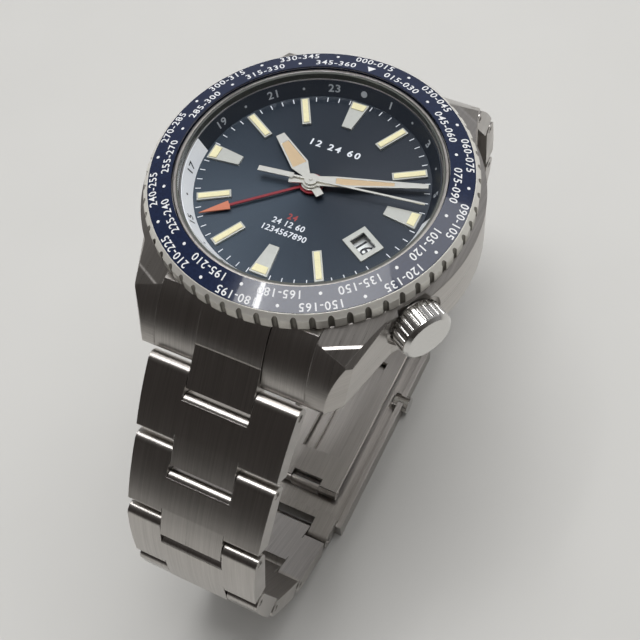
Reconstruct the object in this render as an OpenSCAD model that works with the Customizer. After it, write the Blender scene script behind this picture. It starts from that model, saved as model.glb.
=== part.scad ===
// Diver style travel watch on a steel bracelet, closed as if round a wrist.
// Millimetres. +Z is the dial's normal, +Y points to 12 o'clock, +X to 3 o'clock.
// The origin is the centre of the case back's outer face.

/* [Case] */
// Radius of the case middle
case_r = 20.9; // [20.6:0.1:21.4]
// Height of the case middle's upper face above the case back
case_top_z = 8.9; // [8.8:0.05:9.0]
// Height of the case middle's lower edge above the case back
case_low_z = 0.8; // [0.6:0.1:0.9]
// Distance between the lugs
lug_gap = 20; // [19:0.5:21]
// Thickness of a lug at its tip, across the watch
lug_tip_w = 2.5; // [2.2:0.1:3]
// The same for the lug beside the crown
crown_lug_w = 4; // [3.6:0.1:4.3]
// Distance from the dial's centre to the lug tips
lug_reach = 23.5; // [23.2:0.1:24.2]
// Radius of the bore that holds the movement
bore_r = 15.6; // [15.5:0.05:15.75]
// Radius of the case back's visible disc
back_r = 17.2; // [16.8:0.1:17.6]
// Thickness of the case back's visible disc
back_t = 1.3; // [1.2:0.05:1.4]
// Thickness of the end link's metal between the case and its spring bar
bar_wall = 1.75; // [1.5:0.05:2.1]
// Number of wrench slots in the case back
back_slots = 6; // [4:1:8]

/* [Bezel and crystal] */
// Outer radius of the rotating bezel
bezel_r = 20.1; // [19.9:0.1:20.4]
// Height of the bezel's grip ring
bezel_h = 1.9; // [1.6:0.1:2.1]
// Number of notches round the bezel
notches = 60; // [40:1:72]
// Radius of one notch cut
notch_r = 0.38; // [0.3:0.02:0.45]
// Inner radius of the sloped insert
insert_in_r = 16.48; // [16.46:0.02:16.6]
// Outer radius of the sloped insert
insert_out_r = 19.46; // [19.2:0.02:19.48]
// Height of the insert's inner edge
insert_in_z = 12.4; // [12.3:0.05:12.6]
// Height of the insert's outer edge
insert_out_z = 11.6; // [11.5:0.05:11.8]
// Thickness of the insert
insert_t = 0.7; // [0.5:0.05:0.75]
// Radius of the crystal
crystal_r = 15.68; // [15.66:0.02:15.72]
// Height of the crystal's seat
crystal_low_z = 11; // [10.95:0.05:11.1]
// Height of the crystal at its bevel's upper edge
crystal_edge_z = 12.9; // [12.8:0.05:13.1]
// Rise of the domed crystal above that edge
dome_rise = 0.3; // [0.2:0.05:0.5]

/* [Dial and hands] */
// Radius of the dial
dial_r = 15.5; // [15.3:0.05:15.55]
// Height of the dial's face
dial_z = 9.2; // [9.15:0.05:9.3]
// Thickness of the dial
dial_t = 0.4; // [0.3:0.05:0.4]
// Inner radius of the sloped hour ring at the dial
ring_in_r = 14.4; // [14.2:0.1:14.6]
// Distance from the centre to an hour marker's outer end
marker_out_r = 13.9; // [13.5:0.1:14.1]
// Length of an hour marker
marker_len = 4.2; // [3.6:0.1:4.4]
// Width of a narrow hour marker
marker_w = 1.1; // [0.9:0.1:1.3]
// Distance from the centre to the date window
date_r = 10.75; // [10.65:0.05:10.8]
// Width of the date window, along the radius
date_w = 2.6; // [2.3:0.1:2.6]
// Height of the date window, round the dial
date_h = 2; // [1.7:0.1:2.1]
// Length of the hour hand
hour_len = 8.6; // [8:0.1:9.2]
// Length of the minute hand
minute_len = 14; // [13.4:0.1:14.1]
// Length of the seconds hand
seconds_len = 14.1; // [13.4:0.1:14.2]
// Length of the 24-hour hand
gmt_len = 13.9; // [13.2:0.1:14.1]
// Thickness of a hand
hand_t = 0.16; // [0.12:0.01:0.18]
// Where the hour hand points, clockwise from 12
hour_angle = -53; // [-60:1:-46]
// Where the minute hand points, clockwise from 12
minute_angle = 71; // [64:1:78]
// Where the seconds hand points, clockwise from 12
seconds_angle = 82.5; // [79:0.5:86]
// Where the 24-hour hand points, clockwise from 12
gmt_angle = 229; // [220:1:238]

/* [Movement] */
// Radius of the movement
move_r = 12.9; // [12.5:0.1:13]
// Radius of the winding stem
stem_r = 0.6; // [0.5:0.05:0.65]
// Radius of the oscillating weight
rotor_r = 12; // [11.4:0.1:12.4]
// Radius of the balance wheel
balance_r = 4.2; // [3.8:0.1:4.4]
// Radius of the mainspring barrel
barrel_r = 4.8; // [4.4:0.1:5]

/* [Crown] */
// Direction of the crown, clockwise from 12
crown_angle = 120; // [118:1:122]
// Height of the crown's axis above the case back
crown_z = 5.4; // [5.2:0.1:5.5]
// Radius of the crown
crown_r = 3.35; // [3.1:0.05:3.5]
// Length of the crown
crown_len = 3.4; // [3:0.1:3.8]
// Number of grip flutes round the crown
crown_flutes = 24; // [18:1:30]

/* [Bracelet] */
// Distance between two link pins
pitch = 10.6; // [10.4:0.05:10.7]
// Radius of a link's rounded end, half its thickness there
end_r = 1.25; // [1.15:0.05:1.3]
// Rise of a link's arched outer face above its ends
arch = 0.35; // [0.25:0.05:0.45]
// Gap between two pieces of the bracelet in a row
row_gap = 0.9; // [0.7:0.05:1]
// Half of the width of the centre row
centre_half = 4.35; // [4.1:0.05:4.6]
// Side gap between the centre row and the outer rows
side_gap = 0.08; // [0.06:0.01:0.12]
// Width that the bracelet loses on each side, per millimetre of length
taper = 0.036; // [0.03:0.001:0.038]
// Radius of the small edge at the lower end of an outer piece
edge_r = 0.25; // [0.15:0.05:0.4]
// Radius of the rolled edge at the upper end of a centre piece
roll_r = 1.1; // [0.8:0.05:1.1]
// How far a centre piece reaches past its lower pin
foot = 1.4; // [1.3:0.05:1.5]
// Radius of a link pin
pin_r = 0.5; // [0.45:0.01:0.55]

/* [Clasp] */
// Half of the width of the clasp cover
cover_half = 8.6; // [8.4:0.1:9]
// Thickness of the clasp cover's plate and sides
cover_t = 0.9; // [0.8:0.05:1]
// Thickness of a folding blade
blade_t = 0.8; // [0.7:0.05:0.85]
// Half of the width of the folding blades
blade_half = 5.5; // [5.2:0.1:5.8]
// Radius of a clasp button
button_r = 1.4; // [1.2:0.05:1.45]
// How far a clasp button stands out
button_out = 0.8; // [0.7:0.05:1]

/* [Hidden] */
$fn = 96;
// Clearances: turning fit, seated fit, between stacked pieces
run = 0.05;
seat = 0.02;
air = 0.1;
// A cut reaches this far past what it cuts
over = 1;
links = 6;
// Angles of the links below the level, from the head to the clasp
link_angle = [48.8, 55.7, 80, 104, 128, 152];
// First link pin: distance from the centre and height
first_y = lug_reach + 1.1;
first_z = 0.1;
function pin_y(k) = k == 0 ? first_y : pin_y(k - 1) + pitch * cos(link_angle[k - 1]);
function pin_z(k) = k == 0 ? first_z : pin_z(k - 1) - pitch * sin(link_angle[k - 1]);
clasp_y = pin_y(links);
clasp_z = pin_z(links);
open_end = pitch - end_r - row_gap;
// Outer profile of the lugs and the end links: an arc of this radius and centre
lug_arc_r = 12.28;
lug_arc_y = lug_reach - 11.85;
lug_arc_z = -1.45;
lug_low_z = 1.3;
lug_half = lug_gap / 2;
// Spring bars
bar_y = lug_reach - 2.4;
bar_z = 3.3;
bar_r = 0.75;
bar_tip_r = 0.45;
bar_tip = 0.9;
// Round cut between the lugs that the end links seat in
end_seat_r = bar_y - bar_r - bar_wall;
// Neck that the bezel turns on and that holds the crystal
neck_in_r = 15.95;
neck_out_r = 16.38;
neck_z = 12;
bezel_low_z = case_top_z + air;
bezel_rim_z = bezel_low_z + bezel_h;
// Crown and its tube
crown_flat = case_r - 0.8;
tube_r = 1.35;
tube_in_r = 0.95;
tube_out = crown_flat + 1.6;
crown_in = crown_flat + air;
// Depth of the crown's recess for the tube, and of the stem in the crown beyond it
tube_room = 1.9;
stem_grip = 0.7;
stem_in = 6.6;
// Movement levels
plate_low = 5.6;
plate_top = 7.8;
boss_r = 8.6;
boss_top = 8.25;
bridge_low = 3;
bridge_top = 4;
plate_wall = 0.8;
wall_in_r = move_r - plate_wall;
disc_t = 0.25;
holder_low = 2.9;
// Clasp levels and hinges
cover_low = clasp_z - 2.7;
plate_hinge_y = clasp_y - 4.4;
plate_hinge_z = clasp_z - 1;
blade_hinge_y = -13.5;
blade_hinge_z = clasp_z - 0.5;
long_low = clasp_z - 1.6;
short_low = clasp_z - 0.25;
button_y = 6;
button_z = clasp_z - 1.05;

// Placing helpers
module at_clock(angle) rotate([0, 0, -angle]) children();
module crown_axis() at_clock(crown_angle) translate([0, 0, crown_z]) rotate([-90, 0, 0]) children();
module both_sides() for (a = [0, 1]) mirror([a, 0, 0]) children();
module ring(r_out, r_in, h) difference() {
    cylinder(r = r_out, h = h);
    translate([0, 0, -over]) cylinder(r = r_in, h = h + 2 * over);
}
module across(half) rotate([90, 0, 90]) translate([0, 0, -half]) linear_extrude(2 * half) children();
module cross_rod(r, half) rotate([0, 90, 0]) translate([0, 0, -half]) cylinder(r = r, h = 2 * half);

// Case middle: a turned body with a sloped shoulder, and four lugs
lug_flank_y = lug_reach - 1.1;
lug_root_y = 9;
shoulder_r = bezel_r - 0.3;
shoulder_fall = 0.3;
edge_low = 0.6;
groove_in_r = 16.9;
groove_w = 1;
groove_deep = 0.4;
// Where a lug's flank leaves the round case, as an angle above the 3 o'clock line
flank_angle = 40.7;
crown_flank_angle = 38.5;
root_r = case_r - 0.12;
// A lug's front corner and its polished upper edge: y and z of a point of the plane, and its two turns
corner_at = [lug_reach - 3.5, 7.5];
corner_lean = 80;
corner_turn = 41;
edge_at = [lug_reach - 9.8, 8.48];
edge_lean = 48;
edge_turn = 25;
lug_face_size = 24;
// The plan starts inside the gap between the lugs, whose cut then makes the inner face
lug_plan_x = lug_half - 0.5;
module lug_plan(tip, angle) polygon([[lug_plan_x, lug_root_y],
    [root_r * cos(angle) - 2, lug_root_y], [root_r * cos(angle), root_r * sin(angle)],
    [lug_half + tip, lug_flank_y], [lug_half + 0.72 * tip, lug_reach], [lug_plan_x, lug_reach]]);
module lug_side() union() {
    intersection() {
        translate([lug_arc_y, lug_arc_z]) circle(r = lug_arc_r);
        translate([lug_arc_y - 1, lug_low_z]) square([lug_arc_r + 2, case_top_z - lug_low_z]);
    }
    translate([lug_root_y, lug_low_z]) square([lug_arc_y - lug_root_y, case_top_z - lug_low_z]);
}
module lug_face(x, at, lean, turn) translate([x, at[0], at[1]]) rotate([0, lean, turn])
    translate([-lug_face_size / 2, -lug_face_size / 2, 0]) cube(lug_face_size);
module lug(tip, angle) difference() {
    intersection() {
        linear_extrude(case_top_z) lug_plan(tip, angle);
        translate([lug_plan_x - over, 0, 0]) rotate([90, 0, 90]) linear_extrude(case_r) lug_side();
    }
    lug_face(lug_half + 2.2 + tip / 2, corner_at, corner_lean, corner_turn);
    lug_face(lug_half + 4.9 + tip / 4, edge_at, edge_lean, edge_turn);
}
// What the lathe takes off above the sloped shoulder
module shoulder_cut() rotate_extrude() polygon([[shoulder_r, case_top_z],
    [case_r + 8, case_top_z - shoulder_fall * (case_r + 8 - shoulder_r)],
    [case_r + 8, case_top_z + over], [shoulder_r, case_top_z + over]]);
module gap_plan() difference() {
    translate([-lug_half, lug_root_y]) square([lug_gap, lug_reach]);
    circle(r = end_seat_r);
}
module case_middle() color("silver") difference() {
    union() {
        rotate_extrude() polygon([[0, case_low_z], [case_r - edge_low, case_low_z],
            [case_r, case_low_z + edge_low], [case_r, case_top_z], [neck_out_r, case_top_z],
            [neck_out_r, neck_z], [0, neck_z]]);
        both_sides() lug(lug_tip_w, flank_angle);
        mirror([1, 0, 0]) mirror([0, 1, 0]) lug(lug_tip_w, flank_angle);
        mirror([0, 1, 0]) lug(crown_lug_w, crown_flank_angle);
    }
    shoulder_cut();
    // Movement bore, crystal seat and case back seat
    translate([0, 0, -over]) cylinder(r = bore_r, h = crystal_low_z + over);
    translate([0, 0, crystal_low_z]) cylinder(r = neck_in_r, h = neck_z);
    translate([0, 0, -over]) cylinder(r = back_r + run, h = back_t + over);
    // Groove for the bezel's click spring
    translate([0, 0, case_top_z - groove_deep])
        ring(groove_in_r + groove_w, groove_in_r, groove_deep + over);
    // Room for the end links between the lugs
    for (turn = [0, 180]) rotate([0, 0, turn]) translate([0, 0, -over])
        linear_extrude(case_top_z + 2 * over) gap_plan();
    // Blind holes for the spring bars, and the crown's flat and bore
    for (a = [0, 1]) mirror([0, a, 0]) translate([0, bar_y, bar_z])
        cross_rod(bar_tip_r + run, lug_half + bar_tip);
    crown_axis() translate([0, 0, crown_flat]) cylinder(r = crown_r + 0.5, h = 9);
    crown_axis() translate([0, 0, bore_r - over]) cylinder(r = tube_r + seat, h = case_r);
}
back_lip = 1.3;
back_wall = 1.4;
slot_w = 2;
slot_deep = 0.5;
gasket_t = 0.45;
module case_back() color("silver") difference() {
    union() {
        cylinder(r = back_r, h = back_t);
        cylinder(r = bore_r - seat, h = back_t + back_lip);
    }
    translate([0, 0, back_t - air]) cylinder(r = bore_r - back_wall, h = back_lip + over);
    for (i = [0 : back_slots - 1]) rotate([0, 0, i * 360 / back_slots])
        translate([back_r - slot_w / 2, -slot_w / 2, -over]) cube([slot_w, slot_w, over + slot_deep]);
    translate([0, 0, back_t - gasket_t]) ring(back_r - 0.3, bore_r + 0.2, gasket_t + over);
}
module case_back_gasket() color("dimgray")
    translate([0, 0, back_t - gasket_t]) ring(back_r - 0.35, bore_r + 0.25, gasket_t - seat);
module crown_tube() color("silver") crown_axis() translate([0, 0, bore_r + air])
    ring(tube_r, tube_in_r, tube_out - bore_r - air);

// Crystal, its gasket and the bezel
crystal_bevel = 0.45;
module crystal() color([0.8, 0.9, 1, 0.35]) rotate_extrude() difference() {
    polygon([[0, crystal_low_z], [crystal_r - 0.2, crystal_low_z], [crystal_r, crystal_low_z + 0.2],
        [crystal_r, crystal_edge_z - crystal_bevel], [crystal_r - crystal_bevel, crystal_edge_z],
        [0, crystal_edge_z + dome_rise]]);
    translate([-crystal_r - over, 0]) square([crystal_r + over, 20]);
}
module crystal_gasket() color("white") translate([0, 0, crystal_low_z + seat])
    ring(neck_in_r - seat, crystal_r + seat, neck_z - crystal_low_z - air);
insert_slope = (insert_in_z - insert_out_z) / (insert_out_r - insert_in_r);
insert_seat_z = insert_out_z - insert_t - seat;
module bezel_ring() color("silver") difference() {
    rotate_extrude() polygon([[neck_out_r + run, bezel_low_z], [bezel_r - 0.3, bezel_low_z],
        [bezel_r, bezel_low_z + 0.3], [bezel_r, bezel_rim_z - 0.1], [bezel_r - 0.1, bezel_rim_z],
        [insert_out_r + 0.09, insert_out_z - 0.05], [insert_out_r + seat, insert_out_z - 0.05],
        [insert_out_r + seat, insert_seat_z],
        [neck_out_r + run, insert_seat_z + insert_slope * (insert_out_r - neck_out_r)]]);
    for (i = [0 : notches - 1]) rotate([0, 0, (i + 0.5) * 360 / notches])
        translate([bezel_r + 0.05, 0, bezel_low_z - over])
            cylinder(r = notch_r, h = bezel_h + 3 * over, $fn = 24);
}
module bezel_insert() color("midnightblue") rotate_extrude()
    polygon([[insert_in_r, insert_in_z - insert_t], [insert_out_r, insert_out_z - insert_t],
        [insert_out_r, insert_out_z], [insert_in_r, insert_in_z]]);
module bezel_click_spring() color("silver") translate([0, 0, case_top_z - groove_deep + seat])
    rotate_extrude(angle = 320) translate([groove_in_r + air, 0])
        square([groove_w - 2 * air, groove_deep - 2 * seat]);

// Dial side
module hour_ring() color("slategray") rotate_extrude()
    polygon([[ring_in_r, dial_z], [bore_r - 0.05, dial_z], [bore_r - 0.05, crystal_low_z - 0.03],
        [bore_r - 0.18, crystal_low_z - 0.03]]);
module date_place() at_clock(crown_angle) translate([0, date_r]) children();
module dial() color("navy") difference() {
    translate([0, 0, dial_z - dial_t]) cylinder(r = dial_r, h = dial_t);
    translate([0, 0, dial_z - over]) cylinder(r = 1.4, h = 2 * over);
    translate([0, 0, dial_z - over]) linear_extrude(2 * over)
        date_place() square([date_h, date_w], center = true);
}
date_rim = 0.6;
module date_frame() color("silver") translate([0, 0, dial_z]) linear_extrude(0.25)
    date_place() difference() {
        square([date_h + 2 * date_rim, date_w + 2 * date_rim], center = true);
        square([date_h, date_w], center = true);
    }
// Hours with a marker; the quarters have wide ones, and the date takes the place at 4
marker_hours = [0, 1, 2, 3, 5, 6, 7, 8, 9, 10, 11];
quarter_half = 1.15;
quarter_low_half = 0.66;
// Part of a quarter marker's length that is lumed, from its outer end
quarter_lume = 0.32;
function is_quarter(h) = h % 3 == 0;
function marker_half(h, along) = is_quarter(h)
    ? quarter_half - (quarter_half - quarter_low_half) * along / marker_len : marker_w / 2;
module marker_plan(h, inset, len) {
    out = marker_half(h, inset) - inset;
    low = marker_half(h, len - inset) - inset;
    low_y = marker_out_r - len + inset;
    out_y = marker_out_r - inset;
    at_clock(30 * h) polygon([[-low, low_y], [low, low_y], [out, out_y], [-out, out_y]]);
}
module marker_lume_plan(h, inset) marker_plan(h, inset, marker_len * (is_quarter(h) ? quarter_lume : 1));
marker_h = 0.3;
lume_inset = 0.2;
lume_z = dial_z + 0.2;
module hour_markers() color("silver") difference() {
    translate([0, 0, dial_z]) linear_extrude(marker_h) for (h = marker_hours) marker_plan(h, 0, marker_len);
    translate([0, 0, lume_z]) linear_extrude(marker_h)
        for (h = marker_hours) marker_lume_plan(h, lume_inset);
}
module marker_lume() color("palegoldenrod") translate([0, 0, lume_z])
    linear_extrude(marker_h - 0.1) for (h = marker_hours) marker_lume_plan(h, lume_inset + 0.01);

// Hands: each on its own pipe, the 24-hour hand lowest
sec_pipe_r = 0.25;
min_pipe_r = 0.55;
hour_pipe_r = 0.85;
gmt_pipe_r = 1.15;
hand_step = hand_t + 0.14;
gmt_z = dial_z + 0.38;
hour_z = gmt_z + hand_step;
minute_z = hour_z + hand_step;
seconds_z = minute_z + hand_step;
// A hand's plan: where it is widest, where its lume ends, and its half widths
// at the widest place, the tip, the root and the tail
hour_plan = [3.1, 7.2, 1.12, 0.56, 0.5, 0.5];
minute_plan = [3, 10, 0.76, 0.3, 0.7, 0.39];
// The bright border round a hand's lume
hand_edge = 0.22;
lume_air = 0.015;
arrow_half = 0.64;
arrow_low = gmt_len - 3.75;
shaft_half = 0.17;
seconds_half = 0.12;
counter_half = 0.36;
// How far the hands reach behind the centre
gmt_tail = 2.3;
hour_tail = 2.3;
minute_tail = 2.7;
seconds_tail = 6.7;
counter_len = 4.5;
module pipe(r_out, r_in, z_low, z_high) translate([0, 0, z_low]) ring(r_out, r_in, z_high - z_low);
function hand_half(len, plan, along) = plan[2] + (plan[3] - plan[2]) * (along - plan[0]) / (len - plan[0]);
module blade_side(len, tail, plan) polygon([[0, -tail], [plan[5], -tail], [plan[5], 0], [plan[4], 0.4],
    [plan[4], plan[0] * 0.45], [plan[2], plan[0]], [plan[3], len], [0, len]]);
module blade(len, tail, plan) both_sides() blade_side(len, tail, plan);
module blade_slot(len, plan, air_gap) {
    low = hand_half(len, plan, plan[0]) - hand_edge - air_gap;
    top = hand_half(len, plan, plan[1]) - hand_edge - air_gap;
    polygon([[-low, plan[0] + air_gap], [low, plan[0] + air_gap],
        [top, plan[1] - air_gap], [-top, plan[1] - air_gap]]);
}
module gmt_hand() color("orangered") at_clock(gmt_angle) union() {
    difference() {
        translate([0, 0, gmt_z]) linear_extrude(hand_t) union() {
            translate([-shaft_half, -gmt_tail]) square([2 * shaft_half, gmt_tail + arrow_low + 0.1]);
            polygon([[-arrow_half, arrow_low], [arrow_half, arrow_low], [0, gmt_len]]);
            circle(r = gmt_pipe_r + 0.35);
        }
        translate([0, 0, gmt_z - over]) cylinder(r = hour_pipe_r + run, h = 2 * over);
    }
    pipe(gmt_pipe_r, hour_pipe_r + run, plate_top - 1.2, gmt_z + hand_t);
}
module hour_hand() color("silver") at_clock(hour_angle) union() {
    difference() {
        translate([0, 0, hour_z]) linear_extrude(hand_t) union() {
            blade(hour_len, hour_tail, hour_plan);
            circle(r = hour_pipe_r + 0.4);
        }
        translate([0, 0, hour_z - over]) linear_extrude(2 * over)
            blade_slot(hour_len, hour_plan, 0);
        translate([0, 0, hour_z - over]) cylinder(r = min_pipe_r + run, h = 2 * over);
    }
    pipe(hour_pipe_r, min_pipe_r + run, plate_top - 1.6, hour_z + hand_t);
}
module hour_hand_lume() color("tan") at_clock(hour_angle) translate([0, 0, hour_z])
    linear_extrude(hand_t - 0.03) blade_slot(hour_len, hour_plan, lume_air);
module minute_hand() color("silver") at_clock(minute_angle) union() {
    difference() {
        translate([0, 0, minute_z]) linear_extrude(hand_t) union() {
            blade(minute_len, minute_tail, minute_plan);
            circle(r = min_pipe_r + 0.5);
        }
        translate([0, 0, minute_z - over]) linear_extrude(2 * over)
            blade_slot(minute_len, minute_plan, 0);
        translate([0, 0, minute_z - over]) cylinder(r = sec_pipe_r + run, h = 2 * over);
    }
    pipe(min_pipe_r, sec_pipe_r + run, plate_low - 0.4, minute_z + hand_t);
}
module minute_hand_lume() color("tan") at_clock(minute_angle) translate([0, 0, minute_z])
    linear_extrude(hand_t - 0.03) blade_slot(minute_len, minute_plan, lume_air);
seconds_low = bridge_top + 0.3;
seconds_cap = seconds_z + hand_t + 0.12;
module seconds_hand() color("whitesmoke") at_clock(seconds_angle) {
    translate([0, 0, seconds_z]) linear_extrude(hand_t) union() {
        translate([-seconds_half, -seconds_tail]) square([2 * seconds_half, seconds_len + seconds_tail]);
        translate([-counter_half, -seconds_tail]) square([2 * counter_half, counter_len]);
        circle(r = 0.8);
    }
    translate([0, 0, seconds_low]) cylinder(r = sec_pipe_r, h = seconds_cap - seconds_low);
}

// Movement
// The balance keeps this far inside the plate's wall
balance_room = 0.3;
balance_away = wall_in_r - balance_r - balance_room;
balance_angle = 51.7;
balance_x = balance_away * cos(balance_angle);
balance_y = balance_away * sin(balance_angle);
barrel_x = -6.2;
barrel_y = 2.2;
arbor_r = 0.5;
// Pinion posts of the train wheels and of the pallet fork
post_r = 0.15;
post_in = 0.6;
wheel_t = 0.2;
third_x = 1.2;
third_y = -5;
third_r = 3.3;
fourth_r = 1.6;
escape_x = -0.3;
escape_y = 4.8;
escape_r = 1.4;
fork_x = 2;
fork_y = 5.4;
fork_turn = atan2(balance_y - escape_y, balance_x - escape_x);
train_z = 4.95;
clutch_at = 8.3;
clutch_r = 1.25;
clutch_len = 1.4;
module date_disc() color("white") translate([0, 0, plate_top + 0.08])
    ring(move_r - 0.5, boss_r + run, disc_t);
module calendar_plate() color("silver") translate([0, 0, boss_top]) ring(boss_r + 0.6, 2.2, 0.3);
module movement_holder() color("gray") difference() {
    translate([0, 0, holder_low]) ring(bore_r - run, move_r + seat, dial_z - dial_t - holder_low);
    crown_axis() translate([0, 0, wall_in_r]) cylinder(r = stem_r + 2 * air, h = bore_r);
}
module train_post(x, y) translate([x, y, bridge_low + 0.3])
    cylinder(r = post_r, h = plate_low + post_in - bridge_low - 0.3);
module post_bore(x, y) translate([x, y, bridge_low - over])
    cylinder(r = post_r + run, h = plate_low + post_in + air - bridge_low + over);
module post_bores() {
    post_bore(balance_x, balance_y);
    post_bore(third_x, third_y);
    post_bore(escape_x, escape_y);
    post_bore(fork_x, fork_y);
}
module main_plate() color("gold") difference() {
    union() {
        translate([0, 0, plate_low]) cylinder(r = move_r, h = plate_top - plate_low);
        translate([0, 0, plate_low]) cylinder(r = boss_r, h = boss_top - plate_low);
        translate([0, 0, bridge_top]) ring(move_r, wall_in_r, plate_low - bridge_top + 0.1);
    }
    cylinder(r = gmt_pipe_r + run, h = boss_top + over);
    translate([barrel_x, barrel_y, plate_low - over]) cylinder(r = arbor_r + run, h = over + post_in + air);
    post_bores();
    crown_axis() translate([0, 0, stem_in - over]) cylinder(r = stem_r + run, h = move_r);
    crown_axis() translate([0, 0, clutch_at - air]) cylinder(r = clutch_r + air, h = clutch_len + 2 * air);
}
cock_turn = 50;
cock_half = 1.6;
module balance_zone() translate([balance_x, balance_y]) circle(r = balance_r + 0.8);
module train_bridge() color("silver") difference() {
    translate([0, 0, bridge_low]) cylinder(r = move_r, h = bridge_top - bridge_low);
    translate([0, 0, bridge_low - over]) linear_extrude(3) union() {
        balance_zone();
        translate([balance_x, balance_y]) rotate([0, 0, cock_turn])
            translate([0, -cock_half - 0.9]) square([move_r, 2 * cock_half + 1.8]);
    }
    translate([barrel_x, barrel_y, bridge_low - over]) cylinder(r = arbor_r + run, h = 3);
    post_bores();
}
module balance_cock() color("silver") difference() {
    translate([0, 0, bridge_low]) linear_extrude(bridge_top - bridge_low) intersection() {
        circle(r = move_r);
        translate([balance_x, balance_y]) union() {
            circle(r = cock_half);
            rotate([0, 0, cock_turn]) translate([0, -cock_half]) square([move_r, 2 * cock_half]);
        }
    }
    post_bores();
}
bearing_r = 1.7;
rotor_low = back_t + 0.25;
rotor_rim = 2;
module rotor_bearing() color("gold") translate([0, 0, back_t + air])
    cylinder(r = bearing_r, h = bridge_low - back_t - air);
module rotor() color("silver") difference() {
    union() {
        // Web, heavy rim and hub
        translate([0, 0, rotor_low + 0.2]) linear_extrude(0.5) difference() {
            circle(r = rotor_r - rotor_rim / 2);
            translate([-rotor_r, bearing_r + 0.9]) square(2 * rotor_r);
        }
        translate([0, 0, rotor_low]) rotate([0, 0, 180]) rotate_extrude(angle = 180)
            translate([rotor_r - rotor_rim, 0]) square([rotor_rim, 1.1]);
        translate([0, 0, rotor_low]) cylinder(r = bearing_r + 1.1, h = 0.9);
    }
    translate([0, 0, -over]) cylinder(r = bearing_r + run, h = 9);
    translate([0, -rotor_r / 2, -over]) cylinder(r = 1.6, h = 9);
}
rim_z = bridge_top + 0.35;
module balance_wheel() color("gold") {
    translate([balance_x, balance_y, rim_z]) {
        ring(balance_r, balance_r - 0.5, 0.4);
        for (a = [0, 120, 240]) rotate([0, 0, a])
            translate([0, -0.25, 0]) cube([balance_r - 0.3, 0.5, 0.4]);
    }
    train_post(balance_x, balance_y);
}
module train_wheel(x, y, r, t) {
    translate([x, y, train_z]) cylinder(r = r, h = t);
    train_post(x, y);
}
module third_wheel() color("gold") train_wheel(third_x, third_y, third_r, wheel_t);
module escape_wheel() color("silver") train_wheel(escape_x, escape_y, escape_r, wheel_t);
// The fourth wheel is pressed on the seconds hand's arbor
module fourth_wheel() color("gold") translate([0, 0, seconds_low]) ring(fourth_r, sec_pipe_r, wheel_t);
module pallet_fork() color("silver") {
    translate([fork_x, fork_y, train_z]) rotate([0, 0, fork_turn]) linear_extrude(wheel_t) union() {
        translate([-0.5, -0.2]) square([2.6, 0.4]);
        translate([-0.7, -1]) square([0.35, 2]);
    }
    translate([fork_x, fork_y, train_z]) cylinder(r = post_r, h = plate_low + post_in - train_z);
}
module mainspring_barrel() color("gold") translate([barrel_x, barrel_y, 0]) union() {
    translate([0, 0, bridge_top + air]) cylinder(r = barrel_r, h = plate_low - bridge_top - 2 * air);
    translate([0, 0, bridge_low + air]) cylinder(r = arbor_r, h = plate_low + post_in - bridge_low - air);
}

// Crown side
// The stem goes through the tube and is screwed into the crown
module winding_stem() color("silver") crown_axis() translate([0, 0, stem_in])
    cylinder(r = stem_r, h = crown_in + tube_room + stem_grip - stem_in);
module clutch_wheel() color("silver") crown_axis() translate([0, 0, clutch_at])
    ring(clutch_r, stem_r + run, clutch_len);
crown_bevel = 0.4;
module crown() color("silver") crown_axis() translate([0, 0, crown_in]) difference() {
    union() {
        cylinder(r = crown_r - crown_bevel, h = crown_bevel);
        translate([0, 0, crown_bevel]) cylinder(r = crown_r, h = crown_len - 2 * crown_bevel);
        translate([0, 0, crown_len - crown_bevel])
            cylinder(r1 = crown_r, r2 = crown_r - crown_bevel, h = crown_bevel);
    }
    for (i = [0 : crown_flutes - 1]) rotate([0, 0, i * 360 / crown_flutes])
        translate([crown_r + 0.08, 0, 0.3]) cylinder(r = 0.26, h = crown_len - 0.9, $fn = 20);
    translate([0, 0, -over]) cylinder(r = tube_r + 0.35, h = over + tube_room);
    translate([0, 0, -over]) cylinder(r = stem_r + seat, h = over + tube_room + stem_grip + seat);
}
module crown_gasket() color("dimgray") crown_axis() translate([0, 0, crown_in + 0.7])
    ring(tube_r + 0.33, tube_r + 0.03, 0.5);

// Bracelet. A link lies along +Y from its own pin, with its outer face up
arch_r = (pow(pitch / 2, 2) + pow(arch, 2)) / (2 * arch);
module arch_round() translate([pitch / 2, end_r + arch - arch_r]) circle(r = arch_r, $fn = 200);
// Height of the arched face at a distance along the link
function arch_z(s) = end_r + arch - arch_r + sqrt(pow(arch_r, 2) - pow(s - pitch / 2, 2));
// An open end whose upper edge has radius r
module rolled_end(r) {
    translate([open_end - r, arch_z(open_end - r) - r]) circle(r = r);
    translate([open_end - r, -end_r]) square([r, end_r + arch_z(open_end - r) - r]);
}
module row_side() {
    circle(r = end_r);
    intersection() {
        translate([0, -end_r]) square([open_end - edge_r, 2 * end_r + arch + over]);
        arch_round();
    }
    rolled_end(edge_r);
}
module centre_side() translate([pitch, 0]) mirror([1, 0]) {
    circle(r = end_r - run);
    intersection() {
        polygon([[-foot, -end_r / 3], [0, -end_r / 3], [0, -end_r], [open_end - roll_r, -end_r],
            [open_end - roll_r, 3 * end_r], [-foot, 3 * end_r]]);
        arch_round();
    }
    rolled_end(roll_r);
}
// The bar that joins the outer rows to the centre starts this far inside their open ends
cross_in = 0.8;
module cross_side() intersection() {
    translate([pitch - open_end + cross_in, -end_r])
        square([2 * open_end - pitch - 2 * cross_in, 2 * end_r + arch + over]);
    arch_round();
}
function half_at(k, s) = lug_half - taper * (pitch * (k - 1) + s + end_r);
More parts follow.
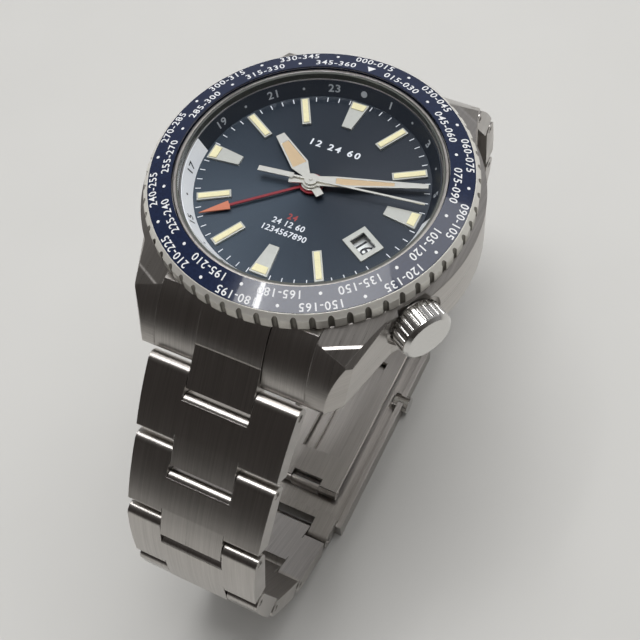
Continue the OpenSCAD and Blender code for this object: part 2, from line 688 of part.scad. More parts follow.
// The side planes that narrow the outer rows
module side_cut(k) translate([half_at(k, 0), 0, -4 * end_r]) rotate([0, 0, atan(taper)])
    translate([0, -over - 2 * end_r, 0]) cube([4, pitch + 6 * end_r, 8 * end_r]);
module link_body(k) {
    difference() {
        union() {
            both_sides() difference() {
                rotate([90, 0, 90]) translate([0, 0, centre_half + side_gap])
                    linear_extrude(half_at(k, -2 * end_r) - centre_half - side_gap) row_side();
                side_cut(k);
            }
            across(centre_half) centre_side();
            across(centre_half + 2 * side_gap) cross_side();
        }
        cross_rod(pin_r + 0.01, lug_half + over);
        translate([0, pitch, 0]) cross_rod(pin_r + run, lug_half);
    }
    cross_rod(pin_r, half_at(k, 0) - 0.15);
}
module upper_place(k) translate([0, pin_y(k - 1), pin_z(k - 1)])
    rotate([-link_angle[k - 1], 0, 0]) link_body(k);
module upper_link(k) color("silver") upper_place(k);
module lower_link(k) color("silver") rotate([0, 0, 180]) upper_place(k);

// End link: the shape between the lugs, with a raised centre and a nose for the first link
nose_turn = 48.8;
nose_y = lug_reach - 1.2;
nose_len = 5.2;
groove_low = 1.9;
raise = 0.22;
raise_low = 2.6;
module end_link() {
    difference() {
        union() {
            across(lug_half - seat) intersection() {
                translate([lug_arc_y, lug_arc_z]) circle(r = lug_arc_r - 0.02);
                translate([0, lug_low_z]) square([lug_reach - seat, case_top_z - lug_low_z - run]);
            }
            across(centre_half) intersection() {
                translate([lug_arc_y, lug_arc_z]) circle(r = lug_arc_r + raise);
                translate([0, raise_low]) square([nose_y + 0.35, case_top_z - raise_low - run]);
            }
            across(centre_half) union() {
                translate([first_y, first_z]) circle(r = end_r);
                translate([first_y, first_z]) rotate(180 - nose_turn) union() {
                    translate([0, -end_r]) square([nose_len, 2 * end_r]);
                    translate([-foot, -end_r]) square([foot, end_r * 4 / 3]);
                }
                // Web between the raised centre and the nose
                polygon([[bar_y - 0.6, lug_low_z], [first_y - 1.6, first_z - 0.2],
                    [first_y - 1, 1.6], [nose_y + 0.7, 3.4], [bar_y - 0.6, 3.4]]);
            }
        }
        translate([0, 0, -over]) cylinder(r = end_seat_r + seat, h = case_top_z + 2 * over);
        translate([0, bar_y, bar_z]) cross_rod(bar_r + seat, lug_half + over);
        translate([0, first_y, first_z]) cross_rod(pin_r + run, lug_half + over);
        // Room for the bezel above
        translate([0, 0, case_top_z - seat]) cylinder(r = bezel_r + 0.3, h = bezel_h);
        // Fine grooves between the raised centre and the outer parts
        both_sides() translate([centre_half, end_seat_r - over, groove_low])
            cube([side_gap, lug_reach, case_top_z]);
    }
}
module end_link_upper() color("silver") end_link();
module end_link_lower() color("silver") rotate([0, 0, 180]) end_link();
module spring_bars() color("silver") for (a = [0, 1]) mirror([0, a, 0])
    translate([0, bar_y, bar_z]) union() {
        cross_rod(bar_r, lug_half - run);
        cross_rod(bar_tip_r, lug_half + bar_tip - air);
    }

// Clasp: the cover rides on the lower links, and the blades fold inside it
ear_in = centre_half + side_gap;
ear_out = half_at(links, pitch);
// The cover's plate starts this far in from the last link's pin
cover_in = 2.4;
cover_y = cover_in - clasp_y;
cover_len = plate_hinge_y - cover_y;
cover_side = 3;
cover_in_x = cover_half - cover_t;
// Hinges: pin, knuckles, and half widths of the long blade's two tongues
hinge_pin_r = 0.35;
knuckle_r = 0.7;
plate_tongue = blade_half - 1.4;
blade_tongue = 2.4;
// Windows that make the blades light
long_window = 3.2;
short_window = 6.4;
window_end = 5.5;
window_len = plate_hinge_y - blade_hinge_y - 2 * window_end;
ear_len = 4;
ear_bar = 1.6;
button_in = cover_t + 0.9;
button_travel = 0.6;
module cover_knuckle() {
    translate([plate_tongue + air, plate_hinge_y, plate_hinge_z]) rotate([0, 90, 0])
        cylinder(r = knuckle_r, h = cover_in_x - plate_tongue);
    // The short blade passes behind the block when the long blade stands up
    translate([plate_tongue + air, plate_hinge_y - knuckle_r, cover_low + air])
        cube([cover_in_x - plate_tongue, 1.4 * knuckle_r, plate_hinge_z - cover_low - air]);
}
module clasp_cover() color("silver") {
    difference() {
        union() {
            // Plate with sides
            across(cover_half) translate([cover_y, cover_low]) square([cover_len, cover_t]);
            both_sides() translate([cover_in_x, cover_y, cover_low])
                cube([cover_t, cover_len, cover_side]);
            // Ears round the last link's centre
            across(ear_out) union() {
                translate([-clasp_y, clasp_z]) circle(r = end_r);
                translate([-clasp_y, clasp_z - end_r]) square([cover_in + over, 2 * end_r]);
                translate([cover_y, cover_low]) square([2 * over, clasp_z - end_r - cover_low + air]);
            }
            both_sides() cover_knuckle();
        }
        // Room for the last link's centre, the button holes and the pin holes
        translate([-ear_in, -clasp_y - 2 * end_r, clasp_z - end_r - air])
            cube([2 * ear_in, 2 * end_r + cover_in - 2 * air, 4 * end_r]);
        both_sides() translate([cover_half - button_in - button_travel - air, button_y, button_z])
            rotate([0, 90, 0]) cylinder(r = button_r + run, h = button_in + 2 * over);
        translate([0, -clasp_y, clasp_z]) cross_rod(pin_r + 0.01, lug_half);
        translate([0, plate_hinge_y, plate_hinge_z]) cross_rod(hinge_pin_r + 0.01, cover_in_x);
    }
    translate([0, -clasp_y, clasp_z]) cross_rod(pin_r, ear_out - 0.15);
    translate([0, plate_hinge_y, plate_hinge_z]) cross_rod(hinge_pin_r, cover_in_x - air);
}
module clasp_long_blade() color("silver") {
    difference() {
        union() {
            translate([-plate_tongue, blade_hinge_y, long_low])
                cube([2 * plate_tongue, plate_hinge_y - blade_hinge_y, blade_t]);
            translate([0, plate_hinge_y, plate_hinge_z]) cross_rod(knuckle_r, plate_tongue);
            translate([0, blade_hinge_y, blade_hinge_z]) cross_rod(knuckle_r, blade_tongue);
            translate([-blade_tongue, blade_hinge_y - knuckle_r, long_low])
                cube([2 * blade_tongue, 2 * knuckle_r, blade_hinge_z - long_low]);
        }
        translate([0, plate_hinge_y, plate_hinge_z]) cross_rod(hinge_pin_r + run, blade_half);
        translate([0, blade_hinge_y, blade_hinge_z]) cross_rod(hinge_pin_r + 0.01, blade_half);
        translate([-long_window / 2, blade_hinge_y + window_end, long_low - over])
            cube([long_window, window_len, blade_t + 2 * over]);
        // Room for the short blade's knuckles
        both_sides() translate([blade_tongue, blade_hinge_y - over, long_low - over])
            cube([blade_half, over + knuckle_r + air, blade_t + 2 * over]);
    }
    translate([0, blade_hinge_y, blade_hinge_z]) cross_rod(hinge_pin_r, blade_half - air);
}
module clasp_short_blade() color("silver") {
    difference() {
        union() {
            translate([-blade_half, blade_hinge_y, short_low])
                cube([2 * blade_half, clasp_y - ear_len + ear_bar - blade_hinge_y, blade_t]);
            both_sides() translate([blade_tongue + air, blade_hinge_y, blade_hinge_z]) rotate([0, 90, 0])
                cylinder(r = knuckle_r, h = blade_half - blade_tongue - air);
            both_sides() translate([ear_in, clasp_y - ear_len, short_low])
                cube([ear_out - ear_in, ear_len, blade_t]);
            both_sides() translate([ear_in, clasp_y, clasp_z]) rotate([0, 90, 0])
                cylinder(r = end_r - 2 * air, h = ear_out - ear_in);
            translate([-ear_out, clasp_y - ear_len, short_low]) cube([2 * ear_out, ear_bar, blade_t]);
        }
        translate([0, blade_hinge_y, blade_hinge_z]) cross_rod(hinge_pin_r + run, blade_half + over);
        translate([0, clasp_y, clasp_z]) cross_rod(pin_r + 0.01, lug_half);
        // Room for the long blade's knuckle, and the window
        translate([-blade_tongue - air, blade_hinge_y - over, short_low - over])
            cube([2 * (blade_tongue + air), over + knuckle_r + 5 * air, blade_t + 2 * over]);
        translate([-short_window / 2, blade_hinge_y + window_end, short_low - over])
            cube([short_window, window_len, blade_t + 2 * over]);
    }
}
module clasp_button() translate([cover_half - button_in, button_y, button_z]) rotate([0, 90, 0])
    cylinder(r = button_r, h = button_in + button_out);
module clasp_button_right() color("silver") clasp_button();
module clasp_button_left() color("silver") mirror([1, 0, 0]) clasp_button();

case_middle();
case_back();
case_back_gasket();
crown_tube();
crystal();
crystal_gasket();
hour_ring();
dial();
hour_markers();
marker_lume();
date_frame();
movement_holder();
main_plate();
calendar_plate();
train_bridge();
balance_cock();
rotor_bearing();
bezel_click_spring();
spring_bars();
end_link_lower();
end_link_upper();
bezel_ring();
bezel_insert();
gmt_hand();
hour_hand();
hour_hand_lume();
minute_hand();
minute_hand_lume();
seconds_hand();
date_disc();
rotor();
balance_wheel();
mainspring_barrel();
third_wheel();
fourth_wheel();
escape_wheel();
pallet_fork();
winding_stem();
crown();
crown_gasket();
clutch_wheel();
lower_link(1);  // lower_link_1
lower_link(2);  // lower_link_2
lower_link(3);  // lower_link_3
lower_link(4);  // lower_link_4
lower_link(5);  // lower_link_5
lower_link(6);  // lower_link_6
upper_link(1);  // upper_link_1
upper_link(2);  // upper_link_2
upper_link(3);  // upper_link_3
upper_link(4);  // upper_link_4
upper_link(5);  // upper_link_5
upper_link(6);  // upper_link_6
clasp_cover();
clasp_long_blade();
clasp_short_blade();
clasp_button_left();
clasp_button_right();
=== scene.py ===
import math

import bmesh
import bpy
from mathutils import Euler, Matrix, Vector


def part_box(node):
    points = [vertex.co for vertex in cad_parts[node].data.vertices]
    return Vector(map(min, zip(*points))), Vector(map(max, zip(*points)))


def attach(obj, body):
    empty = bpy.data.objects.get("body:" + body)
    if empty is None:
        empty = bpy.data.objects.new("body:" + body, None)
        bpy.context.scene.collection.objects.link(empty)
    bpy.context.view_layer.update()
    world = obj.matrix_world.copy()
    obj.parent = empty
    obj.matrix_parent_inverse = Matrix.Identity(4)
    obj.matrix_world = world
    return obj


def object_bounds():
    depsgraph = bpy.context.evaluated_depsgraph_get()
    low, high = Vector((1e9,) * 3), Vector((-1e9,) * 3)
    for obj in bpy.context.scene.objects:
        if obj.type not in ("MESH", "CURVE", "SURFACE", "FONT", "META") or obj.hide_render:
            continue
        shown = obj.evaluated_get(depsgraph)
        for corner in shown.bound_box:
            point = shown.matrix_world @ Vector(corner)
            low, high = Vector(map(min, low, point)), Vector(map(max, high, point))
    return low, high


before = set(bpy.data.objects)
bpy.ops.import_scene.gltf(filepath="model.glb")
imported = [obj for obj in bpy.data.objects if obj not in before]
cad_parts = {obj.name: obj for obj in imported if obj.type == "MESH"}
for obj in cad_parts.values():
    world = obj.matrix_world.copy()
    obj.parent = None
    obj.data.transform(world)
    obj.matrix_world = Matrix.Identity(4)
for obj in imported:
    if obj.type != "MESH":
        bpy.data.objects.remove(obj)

MM = 0.001
cad_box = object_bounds()

# Camera, as found from the photograph: millimetres, degrees, and a lens on a sensor this wide
CAMERA_PLACE = (45.86, -71.85, 116.06)
CAMERA_TURN = (31.557, 4.458, 26.272)
CAMERA_LENS = 63.59
CAMERA_SENSOR = 36

# Surfaces that carry print: heights, and (radius, height) circles that bound a cone, in millimetres
DIAL_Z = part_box("dial")[1].z / MM
DISC_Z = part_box("date_disc")[1].z / MM
INSERT_LOW = (19.46, 11.6)
INSERT_HIGH = (16.48, 12.4)
RING_LOW = (14.4, 9.2)
RING_HIGH = (15.42, 10.97)

# The bezel's notches, whose walls carry painted shade: how many, their half width as a share of a step, and
# the radius they lie within, metres
NOTCHES = 60
NOTCH_SHARE = 0.17
NOTCH_RADIUS = 0.02006
# Radius at which the 24-hour hand's arrowhead starts, metres
ARROWHEAD_RADIUS = 0.0101

# Brush lines across and along, lathe lines and fine grain, as noise cells per metre
LINE = 11000
LONG = 140
LATHE_LINE = 7000
STEEL_GRAIN = 2500
INSERT_GRAIN = 3000
RUBBER_GRAIN = 4000
RING_GRAIN = 5000
PAINT_GRAIN = 6000
# Bump depths, and radii that edges are rounded by in the light, metres
SHALLOW = 0.00001
DEEP = 0.00002
EDGE = 0.0001
LINK_EDGE = 0.00011
CASE_EDGE = 0.0002
FINE_EDGE = 0.00004
INSERT_EDGE = 0.00008
# The tones between brush lines
STEEL_DARK = (0.40, 0.38, 0.36)
STEEL_PALE = (0.54, 0.515, 0.49)

# Normal of the polished edge of a lug, and how near a face has to be to it
LUG_EDGE = (0.674, 0.314, 0.669)
LUG_EDGE_NEAR = 0.985
# Upward part of a normal: on the case's sloped shoulder, and where its outer edge starts
SHOULDER_Z = 0.945
BEND_Z = 0.90
# The bend across a lug's shoulder: the way it faces, how far out it is, and the reach of its line, metres
BEND_WAY = (0.4655, 0.885, 0)
BEND_AT = 0.02207
BEND_REACH = 0.0005
# How far the shoulder leans out in the light before, on and past that line: (place, times)
LEAN = [(0.25, 1.75), (0.43, 0.6), (0.57, 0.6), (0.8, 2.6)]
LEAN_MOST = 2.6

# Sunburst: noise cells per radian and per metre outwards, and the way the painted sheen points, paler on that
# side, radians
RAYS_ROUND = 70
RAYS_OUT = 60
SHEEN_TURN = 2.35
# The power that a clear pane's gloss grows by towards a slanting view
SLANT_POWER = 5

# Prints, in millimetres and degrees: how thick they are, and cap height as a share of the font's size
PRINT_T = 0.02
CAP_HEIGHT = 0.7
WELD = 0.0005
# Bezel insert: 24 bands of 15 degrees in two alternating rows
BEZEL_TURN = -0.5
BEZEL_ROWS = (18.75, 17.33)
BEZEL_HEIGHT = 0.98
BEZEL_DOT = 0.2
BEZEL_POINTER = [(-0.55, 0.45), (0, -0.55), (0.55, 0.45)]
# Sloped 24-hour ring
RING_ROW = 14.93
RING_HEIGHT = 0.95
RING_DOT = 0.16
RING_DOT_24 = 0.42
NIGHT_HOURS = [19, 20, 21, 22, 23, 24, 1, 2, 3, 4, 5]
DAY_HOURS = [7, 8, 9, 10, 11, 12, 13, 14, 15, 16, 17]
# Minute track
TICK_R = 13.84
TICK_WIDTH = 0.11
TICK_LENGTH = 0.68
# Plain numbers where a dial carries its words: text, height, clock angle, radius, spacing, weight, stretch
WHITE_ROWS = [
    ("12 24 60", 0.92, 0, 6.25, 1.35, 0.03, 1.1),
    ("24 12 60", 0.8, 180, 6.2, 1.05, 0.015, 1.0),
    ("1234567890", 0.8, 180, 7.5, 1.05, 0.015, 1.0),
]
RED_ROWS = [("24", 0.8, 180, 5.1, 1.2, 0.02, 1.0)]
# Date disc: 31 days, one of which stands in the window
DAYS = 31
DATE_SHOWN = 16
DATE_R = 10.5
DATE_ANGLE = 119.4
DATE_HEIGHT = 1.6
DATE_STRETCH = 0.92

# Floor: pale round the watch and fading to painted shade in front of it, where the links mirror it, metres
# along Y
FLOOR_SIZE = 6
FLOOR_PALE_Y = -0.12
FLOOR_SHADE_Y = -0.3
FLOOR_GRAIN = 40
# The room's tone from in front to behind, and how far along Y it changes
ROOM = [(0.045, 0.040, 0.038), (0.16, 0.155, 0.15), (0.42, 0.42, 0.43)]
ROOM_REACH = 0.8
# Lamps: name, place, the point it faces, size, watts, and whether metal shows it, in millimetres.
# One that metal doesn't show lights matt surfaces only.
LAMPS = [
    ("ceiling panel", (-48, 62, 500), (-48, 62, 0), (284, 275), 1.65, True),
    ("far panel", (150, 260, 500), (150, 260, 0), (180, 300), 0.5, True),
    ("window strip", (-131, -40, 480), (-131, -40, 0), (11, 120), 0.12, True),
    ("room light", (-300, 200, 1500), (0, 0, 0), (3000, 3000), 18, False),
]


# Node helpers

class Look:
    """A material, and short calls that add its nodes."""

    def __init__(self, name):
        self.material = bpy.data.materials.new(name)
        self.material.use_nodes = True
        self.tree = self.material.node_tree
        self.tree.nodes.clear()
        self.place = self.add("TexCoord")

    def add(self, kind, **settings):
        node = self.tree.nodes.new("ShaderNode" + kind)
        for key, value in settings.items():
            setattr(node, key, value)
        return node

    def link(self, source, target):
        self.tree.links.new(source, target)

    def put(self, value, socket):
        """Link a node's output to a socket, or set a plain value on it."""
        if isinstance(value, bpy.types.NodeSocket):
            self.link(value, socket)
        else:
            socket.default_value = value

    def math(self, operation, first, second=0.0):
        node = self.add("Math", operation=operation)
        self.put(first, node.inputs[0])
        self.put(second, node.inputs[1])
        return node.outputs[0]

    def vector(self, operation, *values):
        node = self.add("VectorMath", operation=operation)
        for value, socket in zip(values, node.inputs):
            self.put(value, socket)
        return node.outputs["Value" if operation in ("LENGTH", "DOT_PRODUCT") else "Vector"]

    def axes(self, vector):
        """The three parts of a vector, by name."""
        node = self.add("SeparateXYZ")
        self.link(vector, node.inputs[0])
        return node.outputs

    def joined(self, *values):
        """A vector from up to three parts."""
        node = self.add("CombineXYZ")
        for value, socket in zip(values, node.inputs):
            self.put(value, socket)
        return node.outputs[0]

    def weighed(self, first, weight, second, other_weight):
        """The sum of two values, each times its weight."""
        return self.math("ADD", self.math("MULTIPLY", first, weight),
                         self.math("MULTIPLY", second, other_weight))

    def scaled(self, scale):
        """The place on the object, times a scale along each axis."""
        node = self.add("Mapping")
        node.inputs["Scale"].default_value = scale
        self.link(self.place.outputs["Object"], node.inputs["Vector"])
        return node.outputs[0]

    def noise(self, vector, detail):
        node = self.add("TexNoise")
        node.inputs["Scale"].default_value = 1
        node.inputs["Detail"].default_value = detail
        self.link(vector, node.inputs["Vector"])
        return node.outputs["Fac"]

    def grain(self, cells, detail):
        """Noise that is alike in every direction."""
        return self.noise(self.scaled((cells, cells, cells)), detail)

    def ramp(self, factor, stops):
        """Colours by a factor, from (factor, colour) stops."""
        node = self.add("ValToRGB")
        elements = node.color_ramp.elements
        while len(elements) < len(stops):
            elements.new(0.5)
        for element, (position, color) in zip(elements, stops):
            element.position = position
            element.color = (*color, 1)
        self.link(factor, node.inputs["Fac"])
        return node.outputs["Color"]

    def span(self, factor, low, high, start=0.0, end=1.0, smooth=False):
        """low where factor is start, high where it is end."""
        node = self.add("MapRange", interpolation_type="SMOOTHSTEP" if smooth else "LINEAR")
        for name, value in (("From Min", start), ("From Max", end), ("To Min", low), ("To Max", high)):
            node.inputs[name].default_value = value
        self.link(factor, node.inputs["Value"])
        return node.outputs[0]

    def choose(self, factor, first, second):
        """first where factor is 0, second where it is 1; both are single values."""
        node = self.add("Mix")
        self.link(factor, node.inputs[0])
        self.put(first, node.inputs[2])
        self.put(second, node.inputs[3])
        return node.outputs[0]

    def rounded(self, radius, samples=4):
        """The surface's normal, with its edges rounded."""
        node = self.add("Bevel", samples=samples)
        node.inputs["Radius"].default_value = radius
        return node.outputs[0]

    def normal(self, height, strength, depth, base=None):
        """Bump from height, over the base normal where one is given."""
        node = self.add("Bump")
        node.inputs["Strength"].default_value = strength
        node.inputs["Distance"].default_value = depth
        self.link(height, node.inputs["Height"])
        if base is not None:
            self.link(base, node.inputs["Normal"])
        return node.outputs[0]

    def surface(self, color, roughness, normal=None, **fixed):
        """A Principled surface: the first three may be links, the rest are plain values."""
        shader = self.add("BsdfPrincipled")
        self.put(color, shader.inputs["Base Color"])
        self.put(roughness, shader.inputs["Roughness"])
        if normal is not None:
            self.link(normal, shader.inputs["Normal"])
        for name, value in fixed.items():
            title = name.replace("_", " ").title().replace("Ior", "IOR")
            shader.inputs[title].default_value = value
        output = self.add("OutputMaterial")
        self.link(shader.outputs[0], output.inputs["Surface"])
        return shader

    def brush_way(self, shader, axis):
        """Stretch a surface's gloss round an axis of the object."""
        along = self.add("Tangent", direction_type="RADIAL", axis=axis)
        self.link(along.outputs[0], shader.inputs["Tangent"])


def radius_of(look):
    """Distance from the dial's axis."""
    return look.vector("LENGTH", look.scaled((1, 1, 0)))


def clock_angle_of(look):
    """Angle round the dial's axis, clockwise from 12, from -pi to pi."""
    place = look.axes(look.place.outputs["Object"])
    return look.math("ARCTAN2", place["X"], place["Y"])


def times(values, share):
    return tuple(value * share for value in values)


# Finishes

def brushed(look, scale):
    """Brush lines: fine ones over wide ones."""
    fine = look.noise(look.scaled(scale), detail=3)
    wide = look.noise(look.scaled(times(scale, 0.25)), detail=1)
    return look.weighed(fine, 0.65, wide, 0.35)


def link_steel():
    """Brushed along the bracelet."""
    look = Look("brushed link steel")
    lines = brushed(look, (LINE, LONG, LONG))
    shader = look.surface(
        color=look.ramp(lines, [(0.3, STEEL_DARK), (0.7, STEEL_PALE)]),
        roughness=look.span(lines, 0.24, 0.36),
        normal=look.normal(lines, 0.12, SHALLOW, look.rounded(LINK_EDGE)),
        metallic=1.0, anisotropic=0.6, anisotropic_rotation=0.25)
    look.brush_way(shader, "X")
    return look.material


def leant_shoulder(look):
    """The case's normal. A lug's shoulder leans out more in the light, but for a bright line at its bend."""
    rounded = look.rounded(CASE_EDGE, samples=8)
    shoulder = look.span(look.axes(rounded)["Z"], 0, 1, BEND_Z, SHOULDER_Z, smooth=True)
    corner = look.vector("ABSOLUTE", look.place.outputs["Object"])
    outward = look.vector("DOT_PRODUCT", corner, BEND_WAY)
    past = look.span(outward, 0, 1, BEND_AT - BEND_REACH, BEND_AT + BEND_REACH)
    lean = look.ramp(past, [(at, (much / LEAN_MOST,) * 3) for at, much in LEAN])
    lean = look.math("MULTIPLY", look.choose(shoulder, 1 / LEAN_MOST, lean), LEAN_MOST)
    leant = look.vector("MULTIPLY", rounded, look.joined(lean, lean, 1))
    return look.vector("NORMALIZE", leant)


def case_steel():
    """Brushed across the top and round the flanks, with a polished edge at the lugs."""
    look = Look("brushed and polished case steel")
    sides = look.vector("ABSOLUTE", look.place.outputs["Normal"])
    facing = look.vector("DOT_PRODUCT", sides, LUG_EDGE)
    polished = look.math("GREATER_THAN", facing, LUG_EDGE_NEAR)
    top = look.math("GREATER_THAN", look.axes(sides)["Z"], 0.5)
    lines = look.choose(top, brushed(look, (LONG, LONG, LINE)), brushed(look, (LINE, LONG, LONG)))
    look.surface(
        color=look.ramp(lines, [(0.3, STEEL_DARK), (0.7, STEEL_PALE)]),
        roughness=look.choose(polished, look.span(lines, 0.24, 0.34), 0.1),
        normal=look.normal(lines, 0.08, SHALLOW, leant_shoulder(look)),
        metallic=1.0)
    return look.material


def polished_steel(name, color, roughness, edge=EDGE, metallic=1.0):
    look = Look(name)
    haze = look.grain(STEEL_GRAIN, detail=4)
    look.surface(
        color=look.ramp(haze, [(0.2, times(color, 0.93)), (0.8, color)]),
        roughness=look.span(haze, roughness * 0.8, roughness * 1.3),
        normal=look.normal(haze, 0.03, SHALLOW, look.rounded(edge)),
        metallic=metallic)
    return look.material


def bezel_steel():
    """Satin steel, with painted shade on the walls of the notches round the edge."""
    look = Look("satin bezel steel")
    haze = look.grain(STEEL_GRAIN, detail=4)
    # Painted shade: the side walls of the notches are coloured dark, as shade falls in the cuts.
    step = look.math("MULTIPLY", clock_angle_of(look), NOTCHES / (2 * math.pi))
    away = look.math("ABSOLUTE", look.math("SUBTRACT", look.math("FRACT", step), 0.5))
    notch = look.math("LESS_THAN", away, NOTCH_SHARE)
    side = look.math("LESS_THAN", look.axes(look.place.outputs["Normal"])["Z"], 0.3)
    inside = look.math("LESS_THAN", radius_of(look), NOTCH_RADIUS)
    dark = look.math("MULTIPLY", notch, look.math("MULTIPLY", side, inside))
    look.surface(
        # The two dark stops are the painted shade in the notches; the two pale ones are the steel.
        color=look.ramp(look.weighed(dark, 0.8, haze, 0.2), [
            (0.0, (0.78, 0.76, 0.70)), (0.2, (0.88, 0.86, 0.80)),
            (0.8, (0.20, 0.19, 0.17)), (1.0, (0.26, 0.25, 0.22))]),
        roughness=look.span(haze, 0.27, 0.42),
        normal=look.normal(haze, 0.03, SHALLOW, look.rounded(EDGE)),
        metallic=0.6)
    return look.material


def turned_metal(name, color, roughness=0.25):
    """Concentric lathe lines round the dial's axis."""
    look = Look(name)
    lines = look.noise(look.joined(look.math("MULTIPLY", radius_of(look), LATHE_LINE)), detail=3)
    look.surface(
        color=look.ramp(lines, [(0.3, times(color, 0.85)), (0.7, color)]),
        roughness=look.span(lines, roughness * 0.8, roughness * 1.3),
        normal=look.normal(lines, 0.15, SHALLOW, look.rounded(EDGE)),
        metallic=1.0)
    return look.material


def paint(name, color, roughness, grain=0.08):
    look = Look(name)
    speck = look.grain(PAINT_GRAIN, detail=3)
    look.surface(
        color=look.ramp(speck, [(0.25, times(color, 0.88)), (0.75, color)]),
        roughness=look.span(speck, roughness * 0.85, roughness * 1.15),
        normal=look.normal(speck, grain, DEEP))
    return look.material


def dial_blue():
    """Deep blue lacquer over a sunburst ground: fine rays, with a painted sheen that is paler towards one
    side.
    """
    look = Look("sunburst dial blue")
    angle = clock_angle_of(look)
    rays = look.joined(look.math("MULTIPLY", angle, RAYS_ROUND),
                       look.math("MULTIPLY", radius_of(look), RAYS_OUT))
    streak = look.noise(rays, detail=2)
    # Painted sheen: the colour is paler towards one side, as a sunburst catches light there; the rays are the
    # ground's own streaks.
    painted_sheen = look.math("COSINE", look.math("ADD", angle, SHEEN_TURN))
    level = look.math("ADD", look.weighed(painted_sheen, 0.5, streak, 0.25), 0.35)
    shader = look.surface(
        color=look.ramp(level, [(0.0, (0.013, 0.018, 0.026)), (0.5, (0.020, 0.029, 0.041)),
                                (1.0, (0.028, 0.043, 0.060))]),
        roughness=look.span(streak, 0.30, 0.42),
        normal=look.normal(streak, 0.02, DEEP),
        metallic=0.35, coat_weight=0.5, coat_roughness=0.08, anisotropic=0.5)
    look.brush_way(shader, "Z")
    return look.material


def gmt_lacquer():
    """Dark red shaft with an orange arrowhead."""
    look = Look("red and orange lacquer")
    head = look.math("GREATER_THAN", radius_of(look), ARROWHEAD_RADIUS)
    speck = look.grain(PAINT_GRAIN, detail=3)
    look.surface(
        color=look.ramp(look.weighed(head, 0.85, speck, 0.15), [
            (0.0, (0.20, 0.012, 0.018)), (0.15, (0.28, 0.018, 0.025)),
            (0.85, (0.52, 0.15, 0.075)), (1.0, (0.58, 0.19, 0.10))]),
        roughness=look.span(speck, 0.26, 0.34),
        normal=look.normal(speck, 0.08, DEEP),
        coat_weight=0.4)
    return look.material


def hour_ring_paint():
    """Night half dark slate, day half pale grey, parted at 9 and 3 o'clock."""
    look = Look("two-tone hour ring")
    day = look.math("LESS_THAN", look.axes(look.place.outputs["Object"])["Y"], 0.0)
    speck = look.grain(RING_GRAIN, detail=2)
    look.surface(
        color=look.ramp(look.weighed(day, 0.8, speck, 0.1), [
            (0.0, (0.016, 0.020, 0.028)), (0.2, (0.022, 0.027, 0.036)),
            (0.8, (0.86, 0.86, 0.85)), (1.0, (0.94, 0.94, 0.93))]),
        roughness=look.span(speck, 0.38, 0.5),
        normal=look.normal(speck, 0.05, SHALLOW))
    return look.material


def insert_blue():
    look = Look("navy bezel insert")
    speck = look.grain(INSERT_GRAIN, detail=3)
    look.surface(
        color=look.ramp(speck, [(0.3, (0.006, 0.011, 0.034)), (0.7, (0.009, 0.017, 0.050))]),
        roughness=look.span(speck, 0.12, 0.2),
        normal=look.normal(speck, 0.02, SHALLOW, look.rounded(INSERT_EDGE)),
        specular_ior_level=0.2, coat_weight=0.6, coat_roughness=0.03)
    return look.material


def crystal_clear():
    """Coated glass: clear to what lies under it, with a gloss that grows as it is seen more from the side."""
    look = Look("clear crystal")
    gloss = look.add("BsdfGlossy")
    gloss.inputs["Roughness"].default_value = 0.02
    clear = look.add("BsdfTransparent")
    clear.inputs["Color"].default_value = (0.975, 0.985, 1.0, 1)
    slant = look.add("LayerWeight").outputs["Facing"]
    mix = look.add("MixShader")
    look.link(look.math("POWER", slant, SLANT_POWER), mix.inputs[0])
    look.link(clear.outputs[0], mix.inputs[1])
    look.link(gloss.outputs[0], mix.inputs[2])
    output = look.add("OutputMaterial")
    look.link(mix.outputs[0], output.inputs["Surface"])
    return look.material


def rubber(name, color):
    look = Look(name)
    speck = look.grain(RUBBER_GRAIN, detail=4)
    look.surface(
        color=look.ramp(speck, [(0.2, times(color, 0.7)), (0.8, color)]),
        roughness=look.span(speck, 0.55, 0.75),
        normal=look.normal(speck, 0.2, DEEP))
    return look.material


LINK = link_steel()
CASE = case_steel()
BRIGHT = polished_steel("polished steel", (0.70, 0.69, 0.67), 0.1)
HANDS = polished_steel("polished hand steel", (0.86, 0.83, 0.74), 0.2, edge=FINE_EDGE, metallic=0.6)
MARKERS = polished_steel("polished marker steel", (0.84, 0.83, 0.74), 0.15, edge=FINE_EDGE, metallic=0.6)
NICKEL = turned_metal("nickel plated plate", (0.62, 0.60, 0.56))
GILT = turned_metal("gilt brass", (0.72, 0.52, 0.22))
WEIGHT = turned_metal("plated winding weight", (0.58, 0.58, 0.58))
BACK = turned_metal("turned case back", (0.58, 0.57, 0.55), 0.3)
LUME = paint("pale yellow lume", (0.80, 0.72, 0.42), 0.6, grain=0.3)
HAND_LUME = paint("tan lume", (0.56, 0.40, 0.23), 0.6, grain=0.3)
PRINT = paint("white print", (0.74, 0.75, 0.76), 0.5)
PRINT_DIM = paint("grey print", (0.42, 0.44, 0.45), 0.5)
PRINT_DARK = paint("dark print", (0.03, 0.03, 0.035), 0.5)
PRINT_RED = paint("red print", (0.34, 0.035, 0.03), 0.5)
PAPER = paint("white date disc", (0.92, 0.92, 0.87), 0.5)
HOLDER = paint("pale plastic", (0.55, 0.55, 0.53), 0.5)
SEAL = rubber("clear grey seal", (0.10, 0.105, 0.09))
BLACK = rubber("black rubber", (0.02, 0.02, 0.02))

